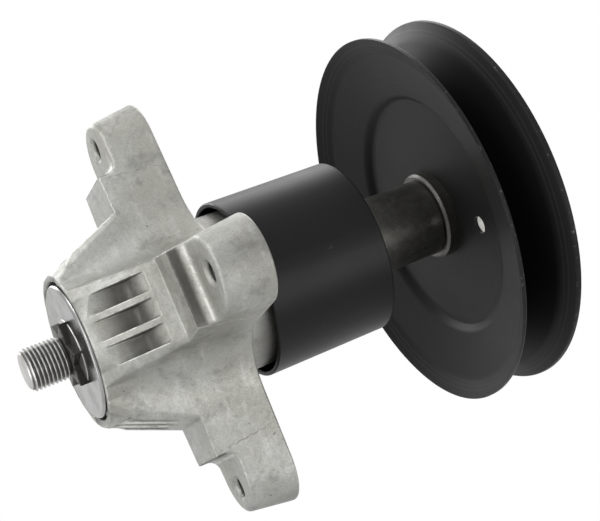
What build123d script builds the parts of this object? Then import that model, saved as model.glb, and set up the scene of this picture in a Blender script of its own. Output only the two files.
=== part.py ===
"""Mower deck spindle: a cast bearing housing that carries a star-ended shaft and a belt pulley.

Millimetres. The origin is on the spindle axis at the deck face of the four mounting ears.
+Z runs along the axis towards the pulley, +X towards one of the ears.
"""
import os
from math import atan, cos, degrees, pi, radians, sin, sqrt, tan

from build123d import *

os.makedirs("parts", exist_ok=True)

# Fits
seat_clearance = 0.02
running_gap = 0.3

# Housing: four arms above the deck face
arm_count = 4
arm_height = 18.0
arm_length = 78.6
arm_tip_half_width = 15.0
arm_root_half_width = 19.0
arm_valley_radius = 22.0
arm_edge_radius = 1.0
ear_edge_radius = 1.5

# Housing: the arms at the foot of the pilot, drawn in by the casting draft
pilot_depth = 6.8
pilot_half_width = 54.0
pilot_fillet_radius = 4.0
foot_length = 74.8
foot_tip_half_width = 11.6
foot_root_half_width = 17.6
foot_valley_radius = 22.0

# Housing: four webs that run from the pilot down to the mouth
mouth_depth = 35.4
web_length = 39.6
web_edge_radius = 2.5
mouth_length = 28.3
mouth_half_width = 15.5
mouth_root_half_width = 19.0
mouth_valley_radius = 6.0
mouth_edge_radius = 7.0
mouth_ring_radius = 28.6
mouth_flare_slope = 0.62
core_radius = 30.0

# Housing: cored pockets in each web
pocket_count = 3
pocket_pitch_length = 9.4
pocket_width = 7.0
pocket_floor_radius = 28.5
pocket_floor_rise_height = 0.9
pocket_end_depth = 17.4
pocket_end_length = 7.0
pocket_end_radius = 3.0

# Housing: round boss above the arms
boss_top_height = 54.0
boss_radius = 29.8
boss_root_fillet_radius = 2.4
boss_land_height = 10.0
bearing_shoulder_width = 3.6
mouth_chamfer = 0.6

# Housing: screw holes in the ears
bolt_circle_diameter = 133.35
bolt_hole_radius = 3.6
bolt_countersink_radius = 4.7

# Deep groove ball bearings, 25 x 52 x 15
bearing_bore_radius = 12.5
bearing_outer_radius = 26.0
bearing_width = 15.0
bearing_edge_chamfer = 1.0
inner_ring_wall = 3.1
outer_ring_wall = 3.1
ball_gap = 0.32
ball_count = 9
cage_wall = 2.6
cage_height = 10.4
seal_thickness = 1.0
seal_recess_depth = 0.5
lower_bearing_inset_depth = 2.6
upper_bearing_inset_depth = 2.0

# Shaft: threaded blade end, six-point star, bearing seat, pulley seat
blade_thread_radius = 8.0
blade_thread_length = 15.4
thread_chamfer = 1.3
neck_radius = 7.0
neck_length = 2.2
star_radius = 13.3
star_height = 3.2
star_points = 6
star_turn_angle = 10.0
pulley_seat_radius = 11.0
pulley_seat_half_width = 9.0
pulley_thread_radius = 8.0
thread_past_nut_length = 2.7

# Lower dust shield
shield_gap = 1.0
shield_thickness = 1.4
shield_rim_radius = 1.1
shield_hub_radius = 15.2

# Tubes on the shaft
bearing_spacer_radius = 15.0
spacer_tube_radius = 14.8
tube_chamfer = 0.5

# Dust sleeve
sleeve_base_height = 28.0
sleeve_top_height = 76.5
sleeve_gap = 2.2
sleeve_draft_width = 0.5
sleeve_wall = 1.8
sleeve_rim_radius = 0.6
sleeve_ledge_height = 2.5
sleeve_ledge_width = 3.0

# Pulley: two pressed halves back to back on a hub
pulley_radius = 73.0
pulley_rim_width = 25.4
pulley_mid_height = 117.3
pulley_sheet_thickness = 1.5
pulley_web_radius = 46.4
pulley_web_bend_radius = 1.6
pulley_step_width = 2.2
pulley_step_height = 2.4
pulley_step_bend_radius = 3.0
pulley_band_radius = 66.5
pulley_band_bend_radius = 6.0
pulley_rim_round_radius = 1.2
groove_half_angle = 15.5
hub_radius = 17.1
hub_depth = 4.9
hub_chamfer = 0.9
hub_neck_radius = 14.0
hub_neck_height = 3.2
web_hole_radius = 3.4
back_hole_radius = 8.0
web_hole_circle_radius = 32.4
web_hole_angle = 25.0

# Flange nut
nut_flats_width = 24.0
nut_height = 14.8
nut_flange_radius = 16.5
nut_flange_height = 3.0
nut_corner_angle = 30.0

# Places worked out from the sizes above
lower_bearing_base = lower_bearing_inset_depth - mouth_depth
upper_bearing_base = boss_top_height - upper_bearing_inset_depth - bearing_width
shield_face = lower_bearing_base - bearing_edge_chamfer - shield_thickness - bearing_edge_chamfer
star_face = shield_face - star_height
thread_end = star_face - blade_thread_length
lower_bearing_top = lower_bearing_base + bearing_width
upper_bearing_top = upper_bearing_base + bearing_width
web_low = pulley_mid_height - pulley_sheet_thickness
web_high = pulley_mid_height + pulley_sheet_thickness
hub_low = web_low - hub_depth
hub_high = web_high + hub_neck_height
nut_high = hub_high + nut_height
shaft_end = nut_high + thread_past_nut_length
inner_land_radius = bearing_bore_radius + inner_ring_wall
outer_land_radius = bearing_outer_radius - outer_ring_wall
ball_circle = (inner_land_radius + outer_land_radius) / 2
ball_radius = (outer_land_radius - inner_land_radius) / 2 + ball_gap
race_radius = ball_radius + running_gap
sleeve_base_radius = boss_radius + sleeve_gap + sleeve_wall
sleeve_top_radius = sleeve_base_radius - sleeve_draft_width
sleeve_taper = (sleeve_base_radius - sleeve_top_radius) / (sleeve_top_height - sleeve_base_height)
ledge_wall = sleeve_base_radius - sleeve_wall - sleeve_taper * (boss_top_height - sleeve_base_height)
boss_land_radius = ledge_wall - running_gap
web_half_width = foot_tip_half_width + (foot_root_half_width - foot_tip_half_width) * (foot_length - web_length) / (
    foot_length - foot_root_half_width
)
seat_bore = bearing_outer_radius + seat_clearance
shield_radius = bearing_outer_radius - shield_gap
shaft_bore = bearing_bore_radius + seat_clearance
cavity_radius = bearing_outer_radius - bearing_shoulder_width


def turned(points, turn):
    """The points turned about the origin by a number of quarter turns."""
    c = cos(turn * pi / 2)
    s = sin(turn * pi / 2)
    return [(x * c - y * s, x * s + y * c) for x, y in points]


def full_round(reach, half_width, corner):
    """Radius that just rounds off an arm whose sides open towards the inner corner."""
    flare = atan((corner - half_width) / (reach - corner))
    return 0.995 * half_width * tan(pi / 4 + flare / 2)


def cross_section(height, reach, half_width, corner, tip_radius, valley_radius):
    """Closed four-armed outline on the plane at a height."""
    arm = [(reach, -half_width), (reach, half_width), (corner, corner)]
    outline = [point for turn in range(arm_count) for point in turned(arm, turn)]
    with BuildSketch(Plane.XY.offset(height)) as section:
        with BuildLine():
            FilletPolyline(*outline, radius=[tip_radius, tip_radius, valley_radius] * arm_count, close=True)
        make_face()
    return section.sketch


def ring_profile(inner, outer, low, high):
    """Rectangle in the XZ plane, turned about Z to give a plain ring."""
    with BuildSketch(Plane.XZ) as profile:
        with BuildLine():
            Polyline((inner, low), (outer, low), (outer, high), (inner, high), close=True)
        make_face()
    return profile.sketch


# Housing casting
arm_top_section = cross_section(
    arm_height, arm_length, arm_tip_half_width, arm_root_half_width,
    full_round(arm_length, arm_tip_half_width, arm_root_half_width), arm_valley_radius,
)
arm_foot_section = cross_section(
    -pilot_depth, foot_length, foot_tip_half_width, foot_root_half_width,
    full_round(foot_length, foot_tip_half_width, foot_root_half_width), foot_valley_radius,
)
web_top_section = cross_section(
    -pilot_depth, web_length, web_half_width, foot_root_half_width, web_edge_radius, foot_valley_radius,
)
mouth_section = cross_section(
    -mouth_depth, mouth_length, mouth_half_width, mouth_root_half_width, mouth_edge_radius, mouth_valley_radius,
)

with BuildPart() as housing:
    # Arms with the deck pilot left standing inside the ears
    loft([arm_top_section, arm_foot_section], ruled=True)
    fillet(housing.faces().sort_by(Axis.Z)[-1].edges(), arm_edge_radius)
    for turn in range(arm_count):
        outward = Vector(1, 0, 0).rotate(Axis.Z, 90 * turn)
        across = Vector(0, 1, 0).rotate(Axis.Z, 90 * turn)
        with BuildSketch(Plane(origin=(0, 0, 0), x_dir=outward, z_dir=across * -1)):
            with BuildLine():
                FilletPolyline(
                    (2 * arm_length, 0), (pilot_half_width, 0), (pilot_half_width, -2 * pilot_depth),
                    (2 * arm_length, -2 * pilot_depth), radius=[0, pilot_fillet_radius, 0, 0], close=True,
                )
            make_face()
        extrude(amount=arm_length, both=True, mode=Mode.SUBTRACT)
    ear_lines = housing.edges().filter_by_position(Axis.Z, -0.01, 0.01).filter_by(
        lambda e: max(abs(e.center().X), abs(e.center().Y)) > pilot_half_width + pilot_fillet_radius + 0.1
    )
    fillet(ear_lines, ear_edge_radius)

    # Webs below the pilot, rounded off at the mouth
    loft([web_top_section, mouth_section], ruled=True)
    with BuildSketch(Plane.XZ):
        with BuildLine():
            Polyline(
                (0, -mouth_depth), (mouth_length, -mouth_depth), (core_radius, -pilot_depth),
                (core_radius, arm_height), (0, arm_height), close=True,
            )
        make_face()
    revolve(axis=Axis.Z)
    with BuildSketch(Plane.XZ):
        with BuildLine():
            FilletPolyline(
                (0, 0), (core_radius, 0), (boss_radius + 1.01 * boss_root_fillet_radius, arm_height),
                (boss_radius, arm_height), (boss_radius, boss_top_height - boss_land_height),
                (boss_land_radius, boss_top_height - boss_land_height), (boss_land_radius, boss_top_height),
                (0, boss_top_height),
                radius=[0, 0, 0, boss_root_fillet_radius, 0, 0, 0, 0], close=True,
            )
        make_face()
    revolve(axis=Axis.Z)
    with BuildSketch(Plane.XZ):
        with BuildLine():
            Polyline(
                (mouth_ring_radius, -mouth_depth), (2 * web_length, -mouth_depth), (2 * web_length, -pilot_depth),
                (mouth_ring_radius + mouth_flare_slope * (mouth_depth - pilot_depth), -pilot_depth), close=True,
            )
        make_face()
    revolve(axis=Axis.Z, mode=Mode.SUBTRACT)

    # Cored pockets between the ribs of each web
    for turn in range(arm_count):
        for place in range(pocket_count):
            shift = (place - (pocket_count - 1) / 2) * pocket_pitch_length
            outward = Vector(1, 0, 0).rotate(Axis.Z, 90 * turn)
            across = Vector(0, 1, 0).rotate(Axis.Z, 90 * turn)
            with BuildSketch(Plane(origin=across * shift, x_dir=outward, z_dir=across * -1)):
                with BuildLine():
                    FilletPolyline(
                        (pocket_floor_radius, -2 * mouth_depth), (2 * web_length, -2 * mouth_depth),
                        (2 * web_length, -pocket_end_depth + pocket_end_length),
                        (web_length, -pocket_end_depth + pocket_end_length),
                        (pocket_floor_radius + pocket_floor_rise_height, -pocket_end_depth),
                        radius=[0, 0, 0, 0, pocket_end_radius], close=True,
                    )
                make_face()
            extrude(amount=pocket_width / 2, both=True, mode=Mode.SUBTRACT)

    # Bearing seats, the cavity between them and the ear holes
    with BuildSketch(Plane.XZ):
        with BuildLine():
            Polyline(
                (0, -mouth_depth), (seat_bore + mouth_chamfer, -mouth_depth),
                (seat_bore, -mouth_depth + mouth_chamfer), (seat_bore, lower_bearing_top),
                (cavity_radius, lower_bearing_top), (cavity_radius, upper_bearing_base),
                (seat_bore, upper_bearing_base), (seat_bore, boss_top_height - mouth_chamfer),
                (seat_bore + mouth_chamfer, boss_top_height), (0, boss_top_height), close=True,
            )
        make_face()
    revolve(axis=Axis.Z, mode=Mode.SUBTRACT)
    with Locations(Plane(origin=(0, 0, 0), z_dir=(0, 0, -1))):
        with PolarLocations(bolt_circle_diameter / 2, arm_count):
            CounterSinkHole(bolt_hole_radius, bolt_countersink_radius, depth=arm_height)
housing.part.label = "housing"
export_step(housing.part, "parts/housing.step")

# Spindle shaft
star_outline = []
for step in range(2 * star_points):
    radius = star_radius if step % 2 == 0 else star_radius / sqrt(3)
    angle = radians(star_turn_angle + 180 / star_points * step)
    star_outline.append((radius * cos(angle), radius * sin(angle)))
with BuildPart() as spindle_shaft:
    with BuildSketch(Plane.XZ):
        with BuildLine():
            Polyline(
                (0, thread_end), (blade_thread_radius - thread_chamfer, thread_end),
                (blade_thread_radius, thread_end + thread_chamfer), (blade_thread_radius, star_face - neck_length),
                (neck_radius, star_face - neck_length), (neck_radius, star_face + star_height / 2),
                (neck_radius, shield_face), (bearing_bore_radius, shield_face), (bearing_bore_radius, hub_low),
                (pulley_seat_radius, hub_low), (pulley_seat_radius, hub_high), (pulley_thread_radius, hub_high),
                (pulley_thread_radius, shaft_end - thread_chamfer),
                (pulley_thread_radius - thread_chamfer, shaft_end), (0, shaft_end), close=True,
            )
        make_face()
    revolve(axis=Axis.Z)
    with BuildSketch(Plane.XY.offset(star_face)):
        with BuildLine():
            Polyline(*star_outline, close=True)
        make_face()
    extrude(amount=star_height)
    with BuildSketch(Plane.XY.offset(hub_low)):
        Circle(2 * pulley_seat_radius)
        Rectangle(2 * pulley_seat_half_width, 4 * pulley_seat_radius, mode=Mode.SUBTRACT)
    extrude(amount=hub_high - hub_low, mode=Mode.SUBTRACT)
spindle_shaft.part.label = "spindle_shaft"
export_step(spindle_shaft.part, "parts/spindle_shaft.step")

# Lower dust shield, a turned disc with a hub that bears on the inner ring
with BuildPart() as lower_dust_shield:
    with BuildSketch(Plane.XZ):
        with BuildLine():
            Polyline(
                (shaft_bore, shield_face), (shield_radius, shield_face),
                (shield_radius, shield_face + shield_thickness),
                (shield_hub_radius, shield_face + shield_thickness), (shield_hub_radius, lower_bearing_base),
                (shaft_bore, lower_bearing_base), close=True,
            )
        make_face()
    revolve(axis=Axis.Z)
    rim = lower_dust_shield.edges().filter_by_position(Axis.Z, shield_face - 0.01, shield_face + 0.01)
    fillet(rim.sort_by(SortBy.RADIUS)[-1], shield_rim_radius)
lower_dust_shield.part.label = "lower_dust_shield"
export_step(lower_dust_shield.part, "parts/lower_dust_shield.step")

# Two sealed ball bearings
for place, base in (("lower", lower_bearing_base), ("upper", upper_bearing_base)):
    middle = base + bearing_width / 2
    top = base + bearing_width

    with BuildPart() as outer_ring:
        with BuildSketch(Plane.XZ) as section:
            with Locations(((outer_land_radius + bearing_outer_radius) / 2, middle)):
                Rectangle(bearing_outer_radius - outer_land_radius, bearing_width)
            chamfer(section.vertices().group_by(Axis.X)[-1], bearing_edge_chamfer)
            with Locations((ball_circle, middle)):
                Circle(race_radius, mode=Mode.SUBTRACT)
        revolve(axis=Axis.Z)
    outer_ring.part.label = f"{place}_bearing_outer_ring"
    export_step(outer_ring.part, f"parts/{place}_bearing_outer_ring.step")

    with BuildPart() as inner_ring:
        with BuildSketch(Plane.XZ) as section:
            with Locations(((shaft_bore + inner_land_radius) / 2, middle)):
                Rectangle(inner_land_radius - shaft_bore, bearing_width)
            chamfer(section.vertices().group_by(Axis.X)[0], bearing_edge_chamfer / 2)
            with Locations((ball_circle, middle)):
                Circle(race_radius, mode=Mode.SUBTRACT)
        revolve(axis=Axis.Z)
    inner_ring.part.label = f"{place}_bearing_inner_ring"
    export_step(inner_ring.part, f"parts/{place}_bearing_inner_ring.step")

    with BuildPart() as balls:
        with Locations((0, 0, middle)):
            with PolarLocations(ball_circle, ball_count):
                Sphere(ball_radius)
    balls.part.label = f"{place}_bearing_balls"
    export_step(balls.part, f"parts/{place}_bearing_balls.step")

    with BuildPart() as cage:
        with BuildSketch(Plane.XY.offset(middle)):
            Circle(ball_circle + cage_wall / 2)
            Circle(ball_circle - cage_wall / 2, mode=Mode.SUBTRACT)
        extrude(amount=cage_height / 2, both=True)
        for step in range(ball_count):
            angle = 360 / ball_count * step
            outward = Vector(1, 0, 0).rotate(Axis.Z, angle)
            with BuildSketch(Plane(origin=(0, 0, middle), x_dir=(0, 0, 1), z_dir=outward)):
                Circle(ball_radius + running_gap)
            extrude(amount=bearing_outer_radius, mode=Mode.SUBTRACT)
    cage.part.label = f"{place}_bearing_cage"
    export_step(cage.part, f"parts/{place}_bearing_cage.step")

    seal_inner = inner_land_radius + running_gap
    seal_outer = outer_land_radius - seat_clearance
    with BuildPart() as lower_seal:
        seal_low = base + seal_recess_depth
        revolve(ring_profile(seal_inner, seal_outer, seal_low, seal_low + seal_thickness), Axis.Z)
    lower_seal.part.label = f"{place}_bearing_lower_seal"
    export_step(lower_seal.part, f"parts/{place}_bearing_lower_seal.step")

    with BuildPart() as upper_seal:
        seal_high = top - seal_recess_depth
        revolve(ring_profile(seal_inner, seal_outer, seal_high - seal_thickness, seal_high), Axis.Z)
    upper_seal.part.label = f"{place}_bearing_upper_seal"
    export_step(upper_seal.part, f"parts/{place}_bearing_upper_seal.step")

# Spacer between the two inner rings
with BuildPart() as bearing_spacer:
    revolve(ring_profile(shaft_bore, bearing_spacer_radius, lower_bearing_top, upper_bearing_base), Axis.Z)
bearing_spacer.part.label = "bearing_spacer"
export_step(bearing_spacer.part, "parts/bearing_spacer.step")

# Spacer tube between the upper inner ring and the pulley hub
with BuildPart() as spacer_tube:
    revolve(ring_profile(shaft_bore, spacer_tube_radius, upper_bearing_top, hub_low), Axis.Z)
    chamfer(spacer_tube.edges().filter_by(GeomType.CIRCLE).sort_by(SortBy.RADIUS)[-2:], tube_chamfer)
spacer_tube.part.label = "spacer_tube"
export_step(spacer_tube.part, "parts/spacer_tube.step")

# Dust sleeve, with a ledge inside that rests on the boss
ledge_high = boss_top_height + sleeve_ledge_height
ledge_high_wall = sleeve_base_radius - sleeve_wall - sleeve_taper * (ledge_high - sleeve_base_height)
with BuildPart() as dust_sleeve:
    with BuildSketch(Plane.XZ):
        with BuildLine():
            FilletPolyline(
                (sleeve_base_radius - sleeve_wall, sleeve_base_height), (sleeve_base_radius, sleeve_base_height),
                (sleeve_top_radius, sleeve_top_height), (sleeve_top_radius - sleeve_wall, sleeve_top_height),
                (ledge_high_wall, ledge_high), (ledge_wall - sleeve_ledge_width, ledge_high),
                (ledge_wall - sleeve_ledge_width, boss_top_height), (ledge_wall, boss_top_height),
                radius=[sleeve_rim_radius] * 4 + [0] * 4, close=True,
            )
        make_face()
    revolve(axis=Axis.Z)
dust_sleeve.part.label = "dust_sleeve"
export_step(dust_sleeve.part, "parts/dust_sleeve.step")

# Pulley hub
with BuildPart() as pulley_hub:
    with BuildSketch(Plane.XZ):
        with BuildLine():
            Polyline(
                (0, hub_low), (hub_radius - hub_chamfer, hub_low), (hub_radius, hub_low + hub_chamfer),
                (hub_radius, web_low), (hub_neck_radius, web_low),
                (hub_neck_radius, hub_high), (0, hub_high), close=True,
            )
        make_face()
    revolve(axis=Axis.Z)
    with BuildSketch(Plane.XY.offset(hub_low)):
        Circle(pulley_seat_radius + seat_clearance)
        Rectangle(2 * (pulley_seat_half_width + seat_clearance), 4 * pulley_seat_radius, mode=Mode.INTERSECT)
    extrude(amount=hub_high - hub_low, mode=Mode.SUBTRACT)
pulley_hub.part.label = "pulley_hub"
export_step(pulley_hub.part, "parts/pulley_hub.step")

# Pulley halves, pressed from sheet and set back to back
step_radius = pulley_web_radius + pulley_step_width
band_drop = pulley_step_height + (pulley_band_radius - step_radius) * tan(radians(groove_half_angle))
rim_drop = pulley_rim_width / 2 - 1.06 * pulley_sheet_thickness
rim_slope = (rim_drop - band_drop) / (pulley_radius - pulley_band_radius)
end_drop = rim_drop + pulley_sheet_thickness * rim_slope
for place, side, hole_radius in (("lower", -1, web_hole_radius), ("upper", 1, back_hole_radius)):
    web_middle = pulley_mid_height + side * pulley_sheet_thickness / 2
    with BuildPart() as half:
        with BuildSketch(Plane.XZ) as half_profile:
            with BuildLine():
                FilletPolyline(
                    (hub_neck_radius + seat_clearance, web_middle), (pulley_web_radius, web_middle),
                    (step_radius, web_middle + side * pulley_step_height),
                    (pulley_band_radius, web_middle + side * band_drop),
                    (pulley_radius + pulley_sheet_thickness, web_middle + side * end_drop),
                    radius=[pulley_web_bend_radius, pulley_step_bend_radius, pulley_band_bend_radius],
                )
            trace(line_width=pulley_sheet_thickness)
            with Locations((0, pulley_mid_height)):
                Rectangle(2 * pulley_radius, 2 * pulley_rim_width, mode=Mode.INTERSECT)
            rim_ends = half_profile.vertices().group_by(Axis.X)[-1]
            rim_corner = rim_ends.sort_by(lambda v: abs(v.Y - pulley_mid_height))[0]
            fillet(rim_corner, pulley_rim_round_radius)
        revolve(axis=Axis.Z)
        with Locations((0, 0, web_middle)):
            with PolarLocations(web_hole_circle_radius, 1, start_angle=web_hole_angle):
                Hole(hole_radius, depth=2 * pulley_sheet_thickness)
    half.part.label = f"pulley_{place}_half"
    export_step(half.part, f"parts/pulley_{place}_half.step")

# Flange nut
with BuildPart() as flange_nut:
    with BuildSketch(Plane.XY.offset(hub_high)):
        RegularPolygon(nut_flats_width / 2, 6, major_radius=False)
    extrude(amount=nut_height)
    with BuildSketch(Plane.XZ):
        with BuildLine():
            Polyline(
                (0, hub_high), (nut_flange_radius, hub_high), (nut_flange_radius, hub_high + nut_flange_height / 2),
                (nut_flats_width / 2, hub_high + nut_flange_height), (0, hub_high + nut_flange_height), close=True,
            )
        make_face()
    revolve(axis=Axis.Z)
    with BuildSketch(Plane.XZ):
        with BuildLine():
            Polyline(
                (nut_flats_width / 2, nut_high), (nut_flats_width, nut_high),
                (nut_flats_width, nut_high - nut_flats_width / 2 * tan(radians(nut_corner_angle))), close=True,
            )
        make_face()
    revolve(axis=Axis.Z, mode=Mode.SUBTRACT)
    with BuildSketch(Plane.XY.offset(hub_high)):
        Circle(pulley_thread_radius + seat_clearance)
    extrude(amount=nut_height, mode=Mode.SUBTRACT)
flange_nut.part.label = "flange_nut"
export_step(flange_nut.part, "parts/flange_nut.step")
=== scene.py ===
import math

import bmesh
import bpy
from bpy.props import FloatProperty, FloatVectorProperty, IntProperty, PointerProperty
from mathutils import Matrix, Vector
from mathutils.bvhtree import BVHTree


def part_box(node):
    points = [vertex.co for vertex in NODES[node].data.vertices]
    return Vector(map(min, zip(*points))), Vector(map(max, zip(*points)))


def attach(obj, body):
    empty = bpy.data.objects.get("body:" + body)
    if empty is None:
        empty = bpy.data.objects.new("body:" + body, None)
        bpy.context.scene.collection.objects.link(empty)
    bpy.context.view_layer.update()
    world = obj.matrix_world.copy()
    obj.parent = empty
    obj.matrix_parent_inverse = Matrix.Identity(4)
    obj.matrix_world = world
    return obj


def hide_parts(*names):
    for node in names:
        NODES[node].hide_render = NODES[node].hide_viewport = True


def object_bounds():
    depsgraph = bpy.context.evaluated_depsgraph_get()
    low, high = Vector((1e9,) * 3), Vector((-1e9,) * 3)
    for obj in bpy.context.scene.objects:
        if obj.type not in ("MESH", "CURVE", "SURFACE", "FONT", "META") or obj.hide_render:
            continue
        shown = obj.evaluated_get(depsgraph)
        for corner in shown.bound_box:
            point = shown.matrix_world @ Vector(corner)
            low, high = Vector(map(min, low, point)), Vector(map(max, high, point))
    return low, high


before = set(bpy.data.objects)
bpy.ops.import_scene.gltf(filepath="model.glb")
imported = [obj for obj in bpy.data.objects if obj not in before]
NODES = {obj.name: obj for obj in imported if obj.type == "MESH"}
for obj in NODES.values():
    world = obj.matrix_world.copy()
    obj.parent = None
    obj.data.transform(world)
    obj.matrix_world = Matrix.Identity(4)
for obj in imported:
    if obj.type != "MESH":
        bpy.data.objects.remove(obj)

bl_info = {
    "name": "Mower spindle looks",
    "version": (1, 0, 0),
    "blender": (4, 5, 0),
    "location": "3D View > Sidebar > Spindle",
    "description": "Dresses a mower deck spindle: casting, shaft, sleeve and belt pulley",
    "category": "Object",
}

CAD_LOW, CAD_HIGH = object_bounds()
SHAFT_BODY = "spindle"
HOUSING_BODY = "housing_body"
FULL_TURN = 2 * math.pi
WHITE = (1.0, 1.0, 1.0)
MM = 0.001


def mm(*values):
    """Millimetres as metres."""
    return tuple(value * MM for value in values)


# Soft lamps: the way to each as shares of the camera's right, up and back, and its power in watts
LAMPS = {
    "lamp_right": ((0.70, -0.08, 0.70), 1.95),
    "lamp_front_left": ((-0.60, 0.10, 0.75), 1.75),
    "lamp_top_left": ((-0.60, 0.75, 0.30), 1.85),
    "lamp_back_left": ((-0.62, 0.40, -0.68), 2.60),
    "lamp_back_top": ((0.00, 0.75, -0.65), 1.70),
    "lamp_low_left": ((-0.75, -0.50, 0.45), 1.05),
}
# The way to the studio's lighter side in the same shares, and the soft edge of the darker side
KEY_SIDE = (-0.40, 0.85, 0.35)
KEY_EDGE = (-0.45, 0.85)
# Nearest and farthest distance that the camera sees
CLIP = (0.01, 20.0)
# Floor: half its side, its drop under the blade end, the soft edge of the paper round the object,
# the share of the paper that takes a shadow and that share's colour
FLOOR_HALF = 6.0
FLOOR_DROP = 0.6 * MM
PAPER_EDGE = (0.08, 0.38)
PAPER_MATT = 0.40
PAPER_SHADE = (0.93, 0.93, 0.93)

# Marks in the materials, in metres. A pair gives the two ends of a soft edge, and two pairs give
# the edges that a mark lies between. Reach is the distance from the axis along an arm, side the
# distance from the arm's middle, height the place along the axis. Depth is measured under the
# sloping face of the webs, which is given by one point and its slope.
ARMS = 4
WEB_HEIGHT, WEB_REACH = mm(-35.4, 28.3)
WEB_SLOPE = 0.395
POCKET_DEPTH = mm(0.3, 4.6)
POCKET_SIDE = mm(12.5, 13.8)
POCKET_HEIGHT = mm(-13.0, -9.0)
RIB_DEPTH = mm(-0.8, -0.4), mm(0.1, 0.5)
RIB_HEIGHT = mm(-18.0, -16.5)
STEP_REACH = mm(53.4, 53.8), mm(54.2, 54.6)
STEP_HEIGHT = mm(-7.2, -6.6), mm(-4.0, -2.2)
FILLET_REACH = mm(54.6, 55.4), mm(56.4, 57.4)
FILLET_HEIGHT = mm(-4.0, -3.0), mm(-1.2, -0.4)
FLASH_REACH = mm(53.2, 53.6), mm(54.0, 54.3)
FLASH_HEIGHT = mm(-6.6, -6.2)
BOLT_REACH = 66.675 * MM
BOLT_RADIUS = mm(3.7, 4.0)
BOLT_PITCH = 1.5 * MM
BOSS_RADIUS = mm(30.2, 31.2)
BOSS_HEIGHT = mm(18.0, 28.0)
TIP_REACH = mm(73.5, 77.5)
ROOT_RADIUS = mm(6.6, 7.0), mm(7.1, 7.9)
NECK_HEIGHT = mm(-41.2, -40.0), mm(-39.0, -38.5)
# The star's wear as heights over its face; the pulley's worn edge and press rings as insets from
# its rim, and half the width of a press ring
STAR_WEAR = mm(0.15, 0.6)
RIM_WEAR = mm(0.7, 0.1)
PRESS_RINGS = mm(2.9, 4.4)
PRESS_RING_HALF = 0.4 * MM

# Threads: rows of points for each pitch, and the shares of the pitch that the flat of a crest and
# the two flanks take
THREAD_ROWS = 14
CREST_FLAT = 0.14
FLANKS = 0.70
# Points round the shaft and the nut, corners of the star, stations along a seam, rows of the nut's
# corner chamfer, and passes that soften the marks of the casting's edges
SHAFT_SEGMENTS = 128
NUT_SEGMENTS = 144
STAR_CORNERS = 12
SEAM_STEPS = 24
CHAMFER_STEPS = 8
EDGE_PASSES = 2


def colour(name, description, default):
    """A linear colour that a user may change."""
    return FloatVectorProperty(
        name=name, description=description, default=default, subtype="COLOR", size=3,
        min=0.0, max=1.0,
    )


def length(name, description, default):
    """A length in metres, given here in millimetres."""
    return FloatProperty(
        name=name, description=description, default=default * MM, unit="LENGTH", precision=5
    )


class SpindleSizes(bpy.types.PropertyGroup):
    """Sizes of the shapes that are made here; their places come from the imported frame."""

    cast_grid: length("Casting grid", "Cell of the mesh that rounds the casting's edges", 0.34)
    cast_rounds: IntProperty(
        name="Casting rounds", description="Smoothing passes over the casting", default=1, min=0
    )
    cast_faces: IntProperty(
        name="Casting faces", description="Triangles that are kept in the casting", default=190000
    )
    seam_height: length("Seam height", "Height of the casting's parting seam", 0.16)
    seam_width: length("Seam width", "Width of the casting's parting seam", 0.55)
    seam_low: length("Seam, low end", "Seam's distance from the axis at the pilot's foot", 52.7)
    seam_high: length("Seam, high end", "Seam's distance from the axis at the arm's top", 50.3)
    thread_crest: length("Thread crest", "Radius of both threads over their crests", 8.0)
    thread_pitch: length("Thread pitch", "Pitch of both threads", 1.5)
    thread_depth: length("Thread depth", "Depth of both threads", 0.92)
    thread_chamfer: length("Thread chamfer", "Chamfer at the free end of both threads", 1.6)
    thread_fade: length("Thread fade", "Length over which the blade thread runs out", 0.9)
    thread_gap: length("Thread gap", "Gap between the blade thread and the star", 0.7)
    star_face: length("Star face", "Distance of the star's face from the blade end", 15.4)
    star_tip: length("Star tip", "Radius of the star over its points", 13.3)
    star_turn: FloatProperty(
        name="Star turn", description="Angle of the star's first point", default=math.radians(10.0),
        subtype="ANGLE",
    )
    star_edge: length("Star edge", "Rounding of the star's edges", 0.28)
    neck: length("Neck", "Radius of the shaft inside the star", 7.0)
    bearing_seat: length("Bearing seat", "Radius of the shaft in the bearings", 12.5)
    pulley_seat: length("Pulley seat", "Radius of the shaft in the pulley's hub", 10.8)
    nut_flats: length("Nut flats", "Width of the nut across its flats", 24.0)
    nut_flange: length("Nut flange", "Height of the nut's flange", 3.0)
    nut_bore: length("Nut bore", "Radius of the nut's bore", 8.2)
    nut_foot: length("Nut foot", "Least radius where the flange meets the flats", 14.6)


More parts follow.
